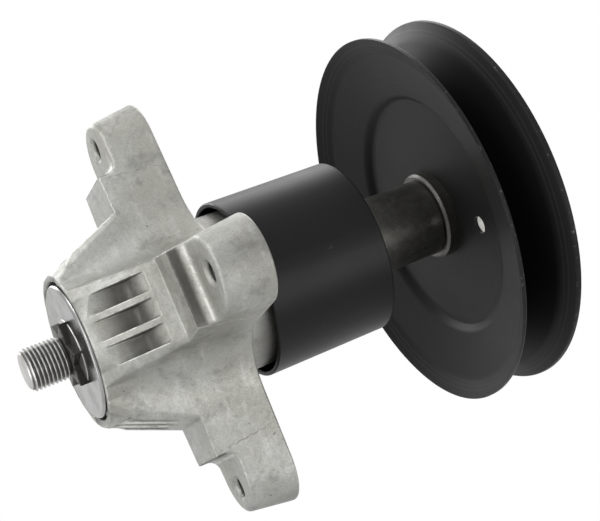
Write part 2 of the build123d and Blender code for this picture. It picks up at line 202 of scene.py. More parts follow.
class SpindleFinishes(bpy.types.PropertyGroup):
    """Colours of the finishes."""

    cast: colour("Casting", "Matt die-cast aluminium", (0.47, 0.47, 0.447))
    cast_warm: colour("Casting, warm", "Olive cloud on the casting", (0.40, 0.395, 0.360))
    # Also the painted highlight on edges, ribs and fillets.
    cast_flow_and_highlight: colour("Casting, light", "Flow marks and worn edges", (0.78, 0.78, 0.755))
    # Also the painted shade in the casting's concave corners.
    cast_stain_and_shade: colour("Casting, dark", "Pores and stains in the casting", (0.19, 0.19, 0.175))
    # Painted shade in the pockets, steps, holes, boss and arm tips, and the dark flash line.
    cast_shade_and_flash: colour("Casting, soil", "Recesses that stay dull", (0.11, 0.108, 0.098))
    turned: colour("Turned steel", "Bright turned steel", (0.50, 0.495, 0.48))
    turned_soil: colour("Turned steel, soil", "Soil on turned steel", (0.22, 0.215, 0.20))
    # Painted shade in the threads' roots and at the shaft's neck.
    thread_root_shade: colour("Thread root", "Dark root of the threads", (0.045, 0.043, 0.038))
    star: colour("Star", "Dark phosphate on the star", (0.022, 0.020, 0.017))
    star_worn: colour("Star, worn", "Steel where the star is worn", (0.40, 0.385, 0.35))
    polished: colour("Polished steel", "Polished disc", (0.33, 0.33, 0.326))
    polished_smear: colour("Polished steel, smear", "Smears on the disc", (0.17, 0.17, 0.166))
    plastic: colour("Sleeve plastic", "Satin black plastic", (0.0095, 0.0097, 0.0096))
    plastic_rub: colour("Sleeve plastic, rub", "Rubs and dust", (0.085, 0.085, 0.088))
    oxide: colour("Dark oxide", "Dark grainy steel", (0.124, 0.121, 0.110))
    oxide_fleck: colour("Dark oxide, fleck", "Sparkle in the steel", (0.30, 0.295, 0.27))
    paint: colour("Pulley paint", "Satin black paint", (0.0100, 0.0102, 0.0102))
    paint_scuff: colour("Pulley paint, scuff", "Scuffs and press rings", (0.075, 0.075, 0.074))
    paint_chip: colour("Pulley paint, chip", "Steel in the rim's chips", (0.17, 0.168, 0.16))
    rubber: colour("Seal rubber", "Black seal rubber", (0.016, 0.016, 0.017))
    rubber_dust: colour("Seal rubber, dust", "Dull clouds on the rubber", (0.05, 0.05, 0.05))
    zinc: colour("Zinc", "Zinc plating", (0.55, 0.54, 0.50))
    zinc_dull: colour("Zinc, dull", "Dull clouds in the plating", (0.42, 0.415, 0.40))


class SpindleStage(bpy.types.PropertyGroup):
    """Camera, lamps and studio."""

    lens: FloatProperty(name="Lens", description="Focal length in mm", default=90.0)
    sensor: FloatProperty(name="Sensor", description="Width of the sensor in mm", default=36.0)
    camera_place: FloatVectorProperty(
        name="Camera place", description="Where the camera stands",
        default=(0.52011, 0.06299, -0.14729), subtype="TRANSLATION", size=3,
    )
    camera_turn: FloatVectorProperty(
        name="Camera turn", description="How the camera is turned",
        default=tuple(map(math.radians, (137.1728, -60.4129, 53.9114))), subtype="EULER", size=3,
    )
    lamp_size: length("Lamp size", "Side of each square lamp", 400.0)
    lamp_reach: length("Lamp reach", "Distance of each lamp from the object's middle", 750.0)
    lamp_level: FloatProperty(
        name="Lamp level", description="Factor on the power of every lamp", default=0.92
    )
    sky_low: FloatProperty(
        name="Sky, low", description="Strength of the darker side of the studio", default=0.10
    )
    sky_high: FloatProperty(
        name="Sky, high", description="Strength of the lighter side of the studio", default=0.20
    )


class Wire:
    """A socket that takes part in plain arithmetic; each operation adds one Math node."""

    def __init__(self, finish, socket):
        self.finish = finish
        self.socket = socket

    def __add__(self, other):
        return self.finish.maths("ADD", self, other)

    __radd__ = __add__

    def __sub__(self, other):
        return self.finish.maths("SUBTRACT", self, other)

    def __rsub__(self, other):
        return self.finish.maths("SUBTRACT", other, self)

    def __mul__(self, other):
        return self.finish.maths("MULTIPLY", self, other)

    __rmul__ = __mul__

    def __pow__(self, other):
        return self.finish.maths("POWER", self, other)

    def __rpow__(self, other):
        return self.finish.maths("POWER", other, self)

    def __abs__(self):
        return self.finish.maths("ABSOLUTE", self)


class Finish:
    """A node tree that is written as expressions."""

    def __init__(self, tree):
        self.tree = tree
        tree.nodes.clear()

    def node(self, kind, settings=None, sockets=None, out=0):
        """Adds a node of a kind: its settings first, then the values or links of its sockets."""
        made = self.tree.nodes.new(kind)
        for key, value in (settings or {}).items():
            setattr(made, key, value)
        for key, value in (sockets or {}).items():
            self._fill(self._pick(made.inputs, key), value)
        return Wire(self, self._pick(made.outputs, out)) if made.outputs else None

    @staticmethod
    def _pick(sockets, key):
        """A socket by its number, its identifier or its name."""
        if isinstance(key, int):
            return sockets[key]
        return next(s for s in sockets if key in (s.identifier, s.name))

    def _fill(self, socket, value):
        """Links a wire, or writes a plain value, padded to four numbers for a colour."""
        if isinstance(value, Wire):
            self.tree.links.new(value.socket, socket)
        elif socket.type == "RGBA":
            socket.default_value = (*value[:3], 1.0)
        else:
            socket.default_value = value

    def maths(self, operation, *values):
        """One Math node."""
        return self.node("ShaderNodeMath", {"operation": operation}, dict(enumerate(values)))

    def vectors(self, operation, first, second, out="Vector"):
        """One Vector Math node."""
        sockets = {0: first, 1: second}
        return self.node("ShaderNodeVectorMath", {"operation": operation}, sockets, out)

    def place(self):
        """Where a point is, in metres, in its piece's own frame."""
        return self.node("ShaderNodeTexCoord", out="Object")

    def axes(self):
        """The three coordinates of a point."""
        place = self.place()
        return [self.node("ShaderNodeSeparateXYZ", None, {0: place}, axis) for axis in "XYZ"]

    def radius(self):
        """The distance of a point from the axis."""
        x, y, _ = self.axes()
        return (x * x + y * y) ** 0.5

    def noise(self, scale, detail=3.0, rough=0.6, stretch=None):
        """Cloud noise from 0 to 1; scale, or stretch for each axis, counts features per metre."""
        where = self.vectors("MULTIPLY", self.place(), stretch) if stretch else self.place()
        sockets = {"Vector": where, "Scale": scale, "Detail": detail, "Roughness": rough}
        return self.node("ShaderNodeTexNoise", None, sockets)

    def rings(self, scale, rough):
        """Noise from 0 to 1 in rings round the axis; scale counts features per metre."""
        sockets = {"W": self.radius(), "Scale": scale, "Detail": 2.0, "Roughness": rough}
        return self.node("ShaderNodeTexNoise", {"noise_dimensions": "1D"}, sockets)

    def band(self, value, low, high, to_low, to_high):
        """A smooth step from to_low to to_high as the value goes from low to high."""
        sockets = dict(enumerate((value, low, high, to_low, to_high)))
        return self.node("ShaderNodeMapRange", {"interpolation_type": "SMOOTHSTEP"}, sockets)

    def rise(self, value, low, high, top=1.0):
        """From 0 at low to top at high."""
        return self.band(value, low, high, 0.0, top)

    def fall(self, value, low, high, top=1.0):
        """From top at low to 0 at high."""
        return self.band(value, low, high, top, 0.0)

    def between(self, value, start, end):
        """1 between two soft edges and 0 outside them."""
        return self.rise(value, *start) * self.fall(value, *end)

    def mix(self, share, first, second):
        """A colour between two colours."""
        sockets = {"Factor_Float": share, "A_Color": first, "B_Color": second}
        return self.node("ShaderNodeMix", {"data_type": "RGBA"}, sockets, "Result_Color")

    def bump(self, height, strength, distance):
        """A normal that follows a height."""
        sockets = {"Strength": strength, "Distance": distance, "Height": height}
        return self.node("ShaderNodeBump", None, sockets)

    def surface(self, **inputs):
        """The shader that ends a material; underscores in its socket names stand for spaces."""
        sockets = {key.replace("_", " "): value for key, value in inputs.items()}
        shader = self.node("ShaderNodeBsdfPrincipled", None, sockets)
        self.node("ShaderNodeOutputMaterial", None, {"Surface": shader})


def material(name):
    """A new material and the finish that fills it."""
    made = bpy.data.materials.new(name)
    made.use_nodes = True
    return made, Finish(made.node_tree)


def cast_aluminium(look):
    """Matt die-cast skin: olive clouds, flow marks, grit, pores, worn edges with a painted edge
    highlight, and painted shade in corners and recesses.
    """
    made, f = material("cast_aluminium")
    patch = f.noise(105.0, detail=4.0)
    flow = f.noise(75.0, detail=4.0, stretch=(1.0, 1.0, 3.0))
    grain = f.noise(420.0)
    grit = f.noise(1500.0, rough=0.65)
    shade = f.mix(f.rise(f.noise(30.0, 5.0, 0.62), 0.38, 0.62), look.cast, look.cast_warm)
    shade = f.mix(f.rise(flow, 0.52, 0.72, 0.30), shade, look.cast_flow_and_highlight)
    shade = f.mix(f.rise(patch, 0.52, 0.70, 0.42), shade, look.cast_stain_and_shade)
    shade = f.mix(f.rise(grain, 0.48, 0.72, 0.16), shade, look.cast_stain_and_shade)
    shade = f.mix(f.rise(grit, 0.40, 0.68, 0.26), shade, look.cast_stain_and_shade)

    spots = f.node("ShaderNodeTexVoronoi", {"feature": "F1"}, {"Vector": f.place(), "Scale": 240.0})
    pores = f.fall(spots, 0.05, 0.15) * f.rise(f.noise(70.0, 2.0, 0.5), 0.53, 0.62)
    shade = f.mix(pores * 0.75, shade, look.cast_stain_and_shade)

    bend = f.node("ShaderNodeAttribute", {"attribute_name": "edge"}, out="Fac")
    # Worn edges together with a painted highlight: convex edges are lightened.
    worn = f.rise(bend, 0.04, 0.13, 0.9) * f.rise(f.noise(300.0), 0.34, 0.60)
    shade = f.mix(worn, shade, look.cast_flow_and_highlight)
    # Painted shade: concave corners are darkened.
    shade = f.mix(f.fall(bend, -0.18, -0.035, 0.65), shade, look.cast_stain_and_shade)

    shade = cast_recesses(f, look, shade, patch, flow, grain)
    height = grit * 0.40 + grain * 0.55 + patch * 0.9 - pores * 1.2
    f.surface(
        Base_Color=shade, Metallic=0.5, Roughness=0.38 + 0.20 * grain, IOR=1.3,
        Normal=f.bump(height, 0.50, 0.42 * MM),
    )
    return made


def cast_recesses(f, look, shade, patch, flow, grain):
    """Paints shade into the casting's pockets, steps, bolt holes, boss and arm tips, paints
    highlights on its ribs and fillets, and darkens the flash line at the pilot's edge.
    """
    x, y, z = f.axes()
    reach = f.maths("MAXIMUM", abs(x), abs(y))
    side = f.maths("MINIMUM", abs(x), abs(y))
    depth = WEB_REACH + (z - WEB_HEIGHT) * WEB_SLOPE - reach
    pocket = f.rise(depth, *POCKET_DEPTH) * f.fall(side, *POCKET_SIDE) * f.fall(z, *POCKET_HEIGHT)
    step = f.between(reach, *STEP_REACH) * f.between(z, *STEP_HEIGHT)
    bolt = ((reach - BOLT_REACH) ** 2.0 + side * side) ** 0.5
    turns = f.maths("SINE", z * (FULL_TURN / BOLT_PITCH))
    hole = f.fall(bolt, *BOLT_RADIUS) * (0.65 + 0.30 * turns)
    boss = f.fall(f.radius(), *BOSS_RADIUS) * f.rise(z, *BOSS_HEIGHT)
    tip = f.rise(reach, *TIP_REACH)
    # Painted shade: the pockets, the pilot steps, the bolt holes with their threads, the boss under
    # the sleeve and the arm tips are darkened.
    darkening = pocket * (0.74 + 0.4 * patch) + step * (0.78 + 0.3 * flow)
    darkening = darkening + hole + boss * 0.92 + tip * 0.32
    shade = f.mix(darkening, shade, look.cast_shade_and_flash)
    # Painted highlight on the tops of the ribs.
    rib = f.between(depth, *RIB_DEPTH) * f.fall(side, *POCKET_SIDE) * f.fall(z, *RIB_HEIGHT)
    shade = f.mix(rib * 0.25 * grain, shade, look.cast_flow_and_highlight)
    # Painted highlight along the fillets between the pilot walls and the ears.
    fillet = f.between(reach, *FILLET_REACH) * f.between(z, *FILLET_HEIGHT)
    shade = f.mix(fillet * f.rise(grain, 0.30, 0.55, 0.8), shade, look.cast_flow_and_highlight)
    flash = f.between(reach, *FLASH_REACH) * f.fall(z, *FLASH_HEIGHT)
    return f.mix(flash * f.rise(f.noise(520.0), 0.42, 0.56), shade, look.cast_shade_and_flash)


def turned_steel(look, name="turned_steel", rough=0.26):
    """Bright steel with turning lines round the axis, and painted shade in the thread's root and at
    the neck.
    """
    made, f = material(name)
    lines = f.noise(1.0, detail=2.0, stretch=(60.0, 60.0, 9000.0))
    darkening = f.rise(f.noise(240.0), 0.48, 0.72)
    shade = f.mix(darkening * 0.45, look.turned, look.turned_soil)
    # Painted shade in the thread's root and at the neck.
    shade = f.mix(f.between(f.radius(), *ROOT_RADIUS) * 0.85, shade, look.thread_root_shade)
    shade = f.mix(f.between(f.axes()[2], *NECK_HEIGHT) * 0.8, shade, look.thread_root_shade)
    f.surface(
        Base_Color=shade, Metallic=1.0, Roughness=rough + 0.14 * lines + 0.12 * darkening,
        Normal=f.bump(lines, 0.12, 0.05 * MM),
    )
    return made


def star_steel(look, face):
    """Dark phosphate, worn to steel on the face at that height."""
    made, f = material("star_steel")
    worn = f.fall(f.axes()[2], *(face + step for step in STAR_WEAR))
    speck = f.rise(f.noise(700.0), 0.35, 0.7)
    shade = f.mix(worn * (0.05 + 0.40 * speck), look.star, look.star_worn)
    f.surface(
        Base_Color=shade, Metallic=0.4 * worn, Roughness=0.34 + 0.16 * speck, IOR=1.28,
        Normal=f.bump(speck, 0.30, 0.08 * MM),
    )
    return made


def polished_steel(look, name="polished_steel"):
    """Polished steel with faint turning rings and smears."""
    made, f = material(name)
    rings = f.rings(5200.0, 0.6)
    smear = f.noise(90.0)
    shade = f.mix(f.rise(smear, 0.42, 0.66, 0.7), look.polished, look.polished_smear)
    f.surface(
        Base_Color=shade, Metallic=1.0, Roughness=0.16 + 0.10 * rings + 0.10 * smear,
        Normal=f.bump(rings, 0.06, 0.04 * MM),
    )
    return made


def sleeve_plastic(look):
    """Satin black moulding with draw marks along the axis, fine rubs and dust."""
    made, f = material("sleeve_plastic")
    draw = f.noise(1.0, stretch=(620.0, 620.0, 16.0))
    cloud = f.noise(55.0)
    grain = f.noise(2600.0, 2.0, 0.5)
    lines = f.noise(1.0, detail=2.0, stretch=(900.0, 260.0, 120.0))
    rubs = f.rise(lines, 0.66, 0.74) * f.rise(f.noise(48.0, 2.0, 0.5), 0.50, 0.62)
    dust = f.rise(f.noise(900.0, 2.0, 0.5), 0.70, 0.80, 0.25)
    f.surface(
        Base_Color=f.mix(rubs * 0.35 + dust, look.plastic, look.plastic_rub),
        Roughness=0.32 + 0.10 * cloud + 0.08 * draw + 0.10 * rubs, IOR=1.26,
        Normal=f.bump(draw * 0.6 + grain * 0.3, 0.10, 0.06 * MM),
    )
    return made


def dark_oxide(look, name="dark_oxide", bright=1.0):
    """Dark oxide steel with darker clouds and a coarse sparkle."""
    made, f = material(name)
    sparkle = f.noise(2300.0, detail=2.0)
    cloud = f.noise(330.0)
    flecks = f.rise(sparkle, 0.57, 0.72)
    base = [value * bright for value in look.oxide]
    shade = f.mix(f.rise(cloud, 0.35, 0.68), [value * 0.80 for value in base], base)
    f.surface(
        Base_Color=f.mix(flecks * 0.5, shade, look.oxide_fleck), Metallic=0.8,
        Roughness=0.30 + 0.12 * cloud - 0.08 * flecks, IOR=1.3,
        Normal=f.bump(sparkle, 0.45, 0.12 * MM),
    )
    return made


def pulley_paint(look, rim):
    """Satin black paint over pressed steel of that rim radius, chipped there, with press rings."""
    made, f = material("pulley_paint")
    radius = f.radius()
    rings = f.rings(620.0, 0.5)
    edge = f.rise(radius, *(rim - inset for inset in RIM_WEAR))
    chip = f.rise(f.noise(420.0, 4.0, 0.7), 0.58, 0.66) * edge
    lines = f.noise(1.0, stretch=(520.0, 150.0, 300.0))
    scuff = f.rise(lines, 0.68, 0.78) * f.rise(f.noise(36.0, 2.0, 0.5), 0.5, 0.64)
    shade = f.mix(scuff * 0.30 + edge * 0.10, look.paint, look.paint_scuff)
    shade = f.mix(chip * 0.4, shade, look.paint_chip)
    for inset in PRESS_RINGS:
        inner, middle, outer = (rim - inset + way * PRESS_RING_HALF for way in (-1, 0, 1))
        ring = f.between(radius, (inner, middle), (middle, outer))
        shade = f.mix(ring * 0.22, shade, look.paint_scuff)
    height = f.noise(1100.0, 2.0, 0.5) * 0.6 + rings * 0.5 - chip * 0.8
    f.surface(
        Base_Color=shade, Metallic=chip * 0.5, IOR=1.22,
        Roughness=0.37 + 0.10 * f.noise(42.0) + 0.07 * rings + 0.08 * scuff,
        Normal=f.bump(height, 0.10, 0.10 * MM),
    )
    return made


def seal_rubber(look):
    """Matt moulded rubber."""
    made, f = material("seal_rubber")
    cloud = f.noise(160.0)
    f.surface(
        Base_Color=f.mix(f.rise(cloud, 0.45, 0.75, 0.5), look.rubber, look.rubber_dust),
        Roughness=0.58 + 0.18 * cloud, Normal=f.bump(f.noise(1500.0, 2.0, 0.5), 0.15, 0.08 * MM),
    )
    return made


def zinc_plate(look):
    """Zinc plating with a cloudy, slightly yellow tone."""
    made, f = material("zinc_plate")
    cloud = f.noise(220.0, 4.0, 0.65)
    f.surface(
        Base_Color=f.mix(f.rise(cloud, 0.38, 0.68), look.zinc, look.zinc_dull), Metallic=1.0,
        Roughness=0.30 + 0.20 * cloud, Normal=f.bump(f.noise(1800.0, 2.0, 0.5), 0.12, 0.06 * MM),
    )
    return made


def dress(node, finish):
    """Gives a node of the frame its finish."""
    slots = NODES[node].data.materials
    slots.clear()
    slots.append(finish)


def piece(name, shape, finish, body, sharp):
    """An object from a bmesh that rides on a body, smooth but for edges sharper than an angle."""
    mesh = bpy.data.meshes.new(name)
    bmesh.ops.recalc_face_normals(shape, faces=shape.faces)
    shape.to_mesh(mesh)
    shape.free()
    mesh.materials.append(finish)
    mesh.polygons.foreach_set("use_smooth", [True] * len(mesh.polygons))
    mesh.set_sharp_from_angle(angle=math.radians(sharp))
    made = bpy.data.objects.new(name, mesh)
    bpy.context.scene.collection.objects.link(made)
    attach(made, body)
    return made


def spun(rows, segments, closed=False):
    """A surface round Z from rows of (radius, height); a radius may be a function of the angle."""
    shape = bmesh.new()
    rings = []
    for radius, height in rows:
        if radius == 0:
            rings.append([shape.verts.new((0, 0, height))])
            continue
        ring = []
        for step in range(segments):
            angle = FULL_TURN * step / segments
            r = radius(angle) if callable(radius) else radius
            ring.append(shape.verts.new((r * math.cos(angle), r * math.sin(angle), height)))
        rings.append(ring)
    pairs = list(zip(rings, rings[1:]))
    if closed:
        pairs.append((rings[-1], rings[0]))
    for low, high in pairs:
        for step in range(segments):
            after = (step + 1) % segments
            if len(low) == 1:
                shape.faces.new((low[0], high[after], high[step]))
            elif len(high) == 1:
                shape.faces.new((low[step], low[after], high[0]))
            else:
                shape.faces.new((low[step], low[after], high[after], high[step]))
    return shape


def thread_rows(start, end, sizes, chamfer_low=0.0, chamfer_high=0.0, fade=0.0):
    """Rows of a right-hand thread, cut back by a chamfer at an end and faded into a neck."""
    crest, pitch, depth = sizes.thread_crest, sizes.thread_pitch, sizes.thread_depth
    count = round((end - start) / pitch * THREAD_ROWS)
    rows = []
    for step in range(count + 1):
        height = start + (end - start) * step / count
        limit = crest
        if chamfer_low:
            limit = min(limit, crest - chamfer_low + (height - start))
        if chamfer_high:
            limit = min(limit, crest - chamfer_high + (end - height))
        room = min(1.0, (end - height) / fade) if fade else 1.0

        def radius(angle, height=height, limit=limit, room=room):
            phase = (height / pitch - angle / FULL_TURN) % 1.0
            flank = min(1.0, max(0.0, (abs(phase - 0.5) * 2 - CREST_FLAT) / FLANKS))
            return min(limit, crest - depth * (1 - (1 - flank) * room))

        rows.append((radius, height))
    return rows


class SPINDLE_OT_stage(bpy.types.Operator):
    """Sets up the camera, the lamps, the studio light and the floor"""

    bl_idname = "spindle.stage"
    bl_label = "Stage"

    def execute(self, context):
        scene = context.scene
        stage = scene.spindle_stage
        scene.view_settings.view_transform = "Standard"
        lens = bpy.data.cameras.new("photo_camera")
        lens.lens = stage.lens
        lens.sensor_width = stage.sensor
        lens.clip_start, lens.clip_end = CLIP
        camera = bpy.data.objects.new("photo_camera", lens)
        camera.location = stage.camera_place
        camera.rotation_euler = stage.camera_turn
        scene.collection.objects.link(camera)
        scene.camera = camera

        turn = camera.rotation_euler.to_matrix()
        middle = (CAD_LOW + CAD_HIGH) / 2
        for name, (way, power) in LAMPS.items():
            place = middle + (turn @ Vector(way)).normalized() * stage.lamp_reach
            self.lamp(scene, name, place, middle, stage.lamp_size, power * stage.lamp_level)
        self.studio(scene, stage, (turn @ Vector(KEY_SIDE)).normalized())
        self.floor(scene)
        return {"FINISHED"}

    @staticmethod
    def lamp(scene, name, place, target, size, power):
        """A square soft lamp that points at the object."""
        light = bpy.data.lights.new(name, "AREA")
        light.size = size
        light.energy = power
        made = bpy.data.objects.new(name, light)
        made.location = place
        made.rotation_euler = (target - place).to_track_quat("-Z", "Y").to_euler()
        made.visible_camera = False
        scene.collection.objects.link(made)

    @staticmethod
    def studio(scene, stage, key):
        """White where it is seen or mirrored; as light, a soft room, lighter on the key side."""
        scene.world = bpy.data.worlds.new("studio")
        scene.world.use_nodes = True
        f = Finish(scene.world.node_tree)
        way = f.node("ShaderNodeTexCoord", out="Generated")
        side = f.vectors("DOT_PRODUCT", way, key, "Value")
        level = f.band(side, *KEY_EDGE, stage.sky_low, stage.sky_high)
        seen = f.node("ShaderNodeLightPath", out="Is Camera Ray")
        for ray in ("Is Glossy Ray", "Is Transmission Ray"):
            seen = f.maths("MAXIMUM", seen, f.node("ShaderNodeLightPath", out=ray))
        strength = level + seen * (1.0 - level)
        light = f.node("ShaderNodeBackground", None, {"Color": WHITE, "Strength": strength})
        f.node("ShaderNodeOutputWorld", None, {"Surface": light})

    @staticmethod
    def floor(scene):
        """White paper that keeps the shadow and fades into the room; clear from below."""
        shape = bmesh.new()
        bmesh.ops.create_grid(shape, x_segments=1, y_segments=1, size=FLOOR_HALF)
        mesh = bpy.data.meshes.new("floor")
        shape.to_mesh(mesh)
        shape.free()
        made = bpy.data.objects.new("floor", mesh)
        made.location.z = CAD_LOW.z - FLOOR_DROP
        scene.collection.objects.link(made)
        finish, f = material("floor_paper")
        mesh.materials.append(finish)
        seen = f.node("ShaderNodeLightPath", out="Is Camera Ray")
        behind = f.node("ShaderNodeNewGeometry", out="Backfacing")
        shown = seen * (1.0 - behind) * f.fall(f.radius(), *PAPER_EDGE)
        white = f.node("ShaderNodeEmission", None, {"Color": WHITE, "Strength": 1.0})
        matt = f.node("ShaderNodeBsdfDiffuse", None, {"Color": PAPER_SHADE})
        paper = f.node("ShaderNodeMixShader", None, {0: PAPER_MATT, 1: white, 2: matt})
        clear = f.node("ShaderNodeBsdfTransparent", None, {"Color": WHITE})
        mixed = f.node("ShaderNodeMixShader", None, {0: shown, 1: clear, 2: paper})
        f.node("ShaderNodeOutputMaterial", None, {"Surface": mixed})


class SPINDLE_OT_cast_housing(bpy.types.Operator):
    """Rounds the casting's edges and gives it its matt skin and parting seams"""

    bl_idname = "spindle.cast_housing"
    bl_label = "Cast housing"

    def execute(self, context):
        sizes = context.scene.spindle_sizes
        skin = cast_aluminium(context.scene.spindle_finishes)
        dress("housing", skin)
        cast = bpy.data.objects.new("housing_casting", NODES["housing"].data.copy())
        context.scene.collection.objects.link(cast)
        self.remesh(context, cast, sizes)
        made = cast.data
        if not made.polygons:
            raise RuntimeError("the casting came out empty")
        made.name = "housing_casting"
        made.materials.clear()
        made.materials.append(skin)
        made.polygons.foreach_set("use_smooth", [True] * len(made.polygons))
        self.mark_edges(made)
        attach(cast, HOUSING_BODY)
        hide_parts("housing")
        self.seams(cast, sizes, skin)
        return {"FINISHED"}

    @staticmethod
    def remesh(context, cast, sizes):
        """Rebuilds the casting on an even grid, smooths its edges and thins the faces out again."""
        def settle():
            context.view_layer.update()
            shaped = cast.evaluated_get(context.evaluated_depsgraph_get())
            fresh = bpy.data.meshes.new_from_object(shaped)
            cast.modifiers.clear()
            cast.data = fresh

        grid = cast.modifiers.new("grid", "REMESH")
        grid.mode = "VOXEL"
        grid.voxel_size = sizes.cast_grid
        rounds = cast.modifiers.new("rounds", "SMOOTH")
        rounds.factor = 0.5
        rounds.iterations = sizes.cast_rounds
        settle()
        share = cast.modifiers.new("share", "DECIMATE")
        share.ratio = min(1.0, sizes.cast_faces / (2 * len(cast.data.polygons)))
        settle()

    @staticmethod
    def mark_edges(mesh):
        """Stores how far each point stands out: above 0 on outer edges, below 0 in corners."""
        shape = bmesh.new()
        shape.from_mesh(mesh)
        shape.normal_update()
        bend = []
        around = []
        for vert in shape.verts:
            others = [edge.other_vert(vert) for edge in vert.link_edges]
            ways = [(vert.co - other.co).normalized() for other in others]
            bend.append(sum(vert.normal.dot(way) for way in ways) / max(1, len(ways)))
            around.append([other.index for other in others])
        shape.free()
        for _ in range(EDGE_PASSES):
            bend = [
                0.5 * own + 0.5 * sum(bend[i] for i in near) / max(1, len(near))
                for own, near in zip(bend, around)
            ]
        mesh.attributes.new("edge", "FLOAT", "POINT").data.foreach_set("value", bend)

    @staticmethod
    def seams(cast, sizes, skin):
        """Lays the thin ridge of the die's parting line over both flanks of every arm."""
        points = [vert.co for vert in cast.data.vertices]
        tree = BVHTree.FromPolygons(points, [face.vertices for face in cast.data.polygons])
        # The height of the seam's foot, its rise, where the search for the flank starts, how far
        # the line sways, how far its feet are sunk and its least height
        foot, rise, clear, sway, sunk, least = mm(-6.2, 23.4, 60.0, 0.3, 0.08, 0.01)
        half = sizes.seam_width / 2
        shape = bmesh.new()
        for turn in range(ARMS):
            angle = FULL_TURN * turn / ARMS
            outward = Vector((math.cos(angle), math.sin(angle), 0))
            for side in (1, -1):
                across = side * Vector((-outward.y, outward.x, 0))
                rings = []
                for step in range(SEAM_STEPS + 1):
                    share = step / SEAM_STEPS
                    reach = sizes.seam_low + (sizes.seam_high - sizes.seam_low) * share
                    reach += sway * math.sin(step * 1.7 + turn * 2.1 + side)
                    start = outward * reach + across * clear + Vector((0, 0, foot + rise * share))
                    spot, normal, _, _ = tree.ray_cast(start, -across)
                    if spot is None:
                        raise RuntimeError("a seam found no flank")
                    along = (outward - normal * outward.dot(normal)).normalized()
                    wave = 0.75 + 0.5 * math.sin(step * 0.9 + turn * 1.3 + side) ** 2
                    fade = min(1.0, step / 2, (SEAM_STEPS - step) / 2)
                    tall = max(sizes.seam_height * wave * fade, least)
                    ridge = (
                        spot - along * half - normal * sunk,
                        spot + normal * tall,
                        spot + along * half - normal * sunk,
                    )
                    rings.append([shape.verts.new(point) for point in ridge])
                for low, high in zip(rings, rings[1:]):
                    for corner in range(3):
                        after = (corner + 1) % 3
                        shape.faces.new((low[corner], low[after], high[after], high[corner]))
                shape.faces.new(rings[0])
                shape.faces.new(rings[-1])
        seam = piece("housing_seams", shape, skin, HOUSING_BODY, sharp=80.0)


class SPINDLE_OT_turned_shaft(bpy.types.Operator):
    """Turns the shaft with its two threads and sets the six-point star on it"""

    bl_idname = "spindle.turned_shaft"
    bl_label = "Turned shaft"

    def execute(self, context):
        sizes = context.scene.spindle_sizes
        look = context.scene.spindle_finishes
        low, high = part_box("spindle_shaft")
        face = low.z + sizes.star_face
        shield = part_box("lower_dust_shield")[0].z
        steel = turned_steel(look)
        dress("spindle_shaft", steel)
        rows = self.blade_end(low.z, face, shield, sizes) + self.pulley_end(high.z, shield, sizes)
        shaft = piece("shaft_turned", spun(rows, SHAFT_SEGMENTS), steel, SHAFT_BODY, sharp=50.0)
        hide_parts("spindle_shaft")
        shape = self.star(face, shield, sizes)
        star = piece("blade_star", shape, star_steel(look, face), SHAFT_BODY, sharp=30.0)
        return {"FINISHED"}

    @staticmethod
    def blade_end(end, face, shield, sizes):
        """Rows from the blade end through the thread and the star to the dust shield."""
        # Radii of the end's flat and of its rim, a small step, and the length of the flare
        flat, rim, edge, flare = mm(5.2, 6.2, 0.1, 1.0)
        stop = face - sizes.thread_gap
        rows = [(0, end), (flat, end), (rim, end + edge)]
        rows += thread_rows(
            end + 2 * edge, stop, sizes, chamfer_low=sizes.thread_chamfer, fade=sizes.thread_fade
        )
        rows += [(sizes.neck, stop + 3 * edge), (sizes.neck, shield - flare)]
        return rows + [(sizes.bearing_seat - edge, shield - 2 * edge)]

    @staticmethod
    def pulley_end(end, shield, sizes):
        """Rows from the dust shield through the bearings, the hub and the nut to the far end."""
        flat, rim, edge = mm(5.0, 6.0, 0.1)
        hub_low, hub_high = (corner.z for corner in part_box("pulley_hub"))
        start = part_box("flange_nut")[1].z - sizes.thread_pitch
        rows = [(sizes.bearing_seat, shield), (sizes.bearing_seat, hub_low)]
        rows += [(sizes.pulley_seat, hub_low + edge), (sizes.pulley_seat, hub_high)]
        rows += [(sizes.thread_crest - edge, hub_high + edge)]
        rows += thread_rows(start, end - 2 * edge, sizes, chamfer_high=sizes.thread_chamfer)
        return rows + [(rim, end - edge), (flat, end), (0, end)]

    @staticmethod
    def star(face, shield, sizes):
        """A six-point star from its face up to the dust shield, its points and face rounded."""
        tip, notch = sizes.star_tip, sizes.star_tip / math.sqrt(3)
        shape = bmesh.new()
        ring = []
        for step in range(STAR_CORNERS):
            radius = notch if step % 2 else tip
            angle = sizes.star_turn + FULL_TURN * step / STAR_CORNERS
            spot = (radius * math.cos(angle), radius * math.sin(angle), face)
            ring.append(shape.verts.new(spot))
        lifted = bmesh.ops.extrude_face_region(shape, geom=[shape.faces.new(ring)])["geom"]
        moved = [v for v in lifted if isinstance(v, bmesh.types.BMVert)]
        bmesh.ops.translate(shape, verts=moved, vec=(0, 0, shield - face))
        rounded = []
        for edge in shape.edges:
            first, second = (v.co for v in edge.verts)
            upright = abs(first.z - second.z) > (shield - face) / 2
            on_point = first.xy.length > (tip + notch) / 2
            on_face = (first.z + second.z) / 2 < (face + shield) / 2
            if (upright and on_point) or (on_face and not upright):
                rounded.append(edge)
        bmesh.ops.bevel(
            shape, geom=rounded, offset=sizes.star_edge, segments=2, affect="EDGES", profile=0.6
        )
        return shape


class SPINDLE_OT_dust_shield(bpy.types.Operator):
    """Polishes the disc in the housing's mouth"""

    bl_idname = "spindle.dust_shield"
    bl_label = "Dust shield"

    def execute(self, context):
        dress("lower_dust_shield", polished_steel(context.scene.spindle_finishes))
        return {"FINISHED"}


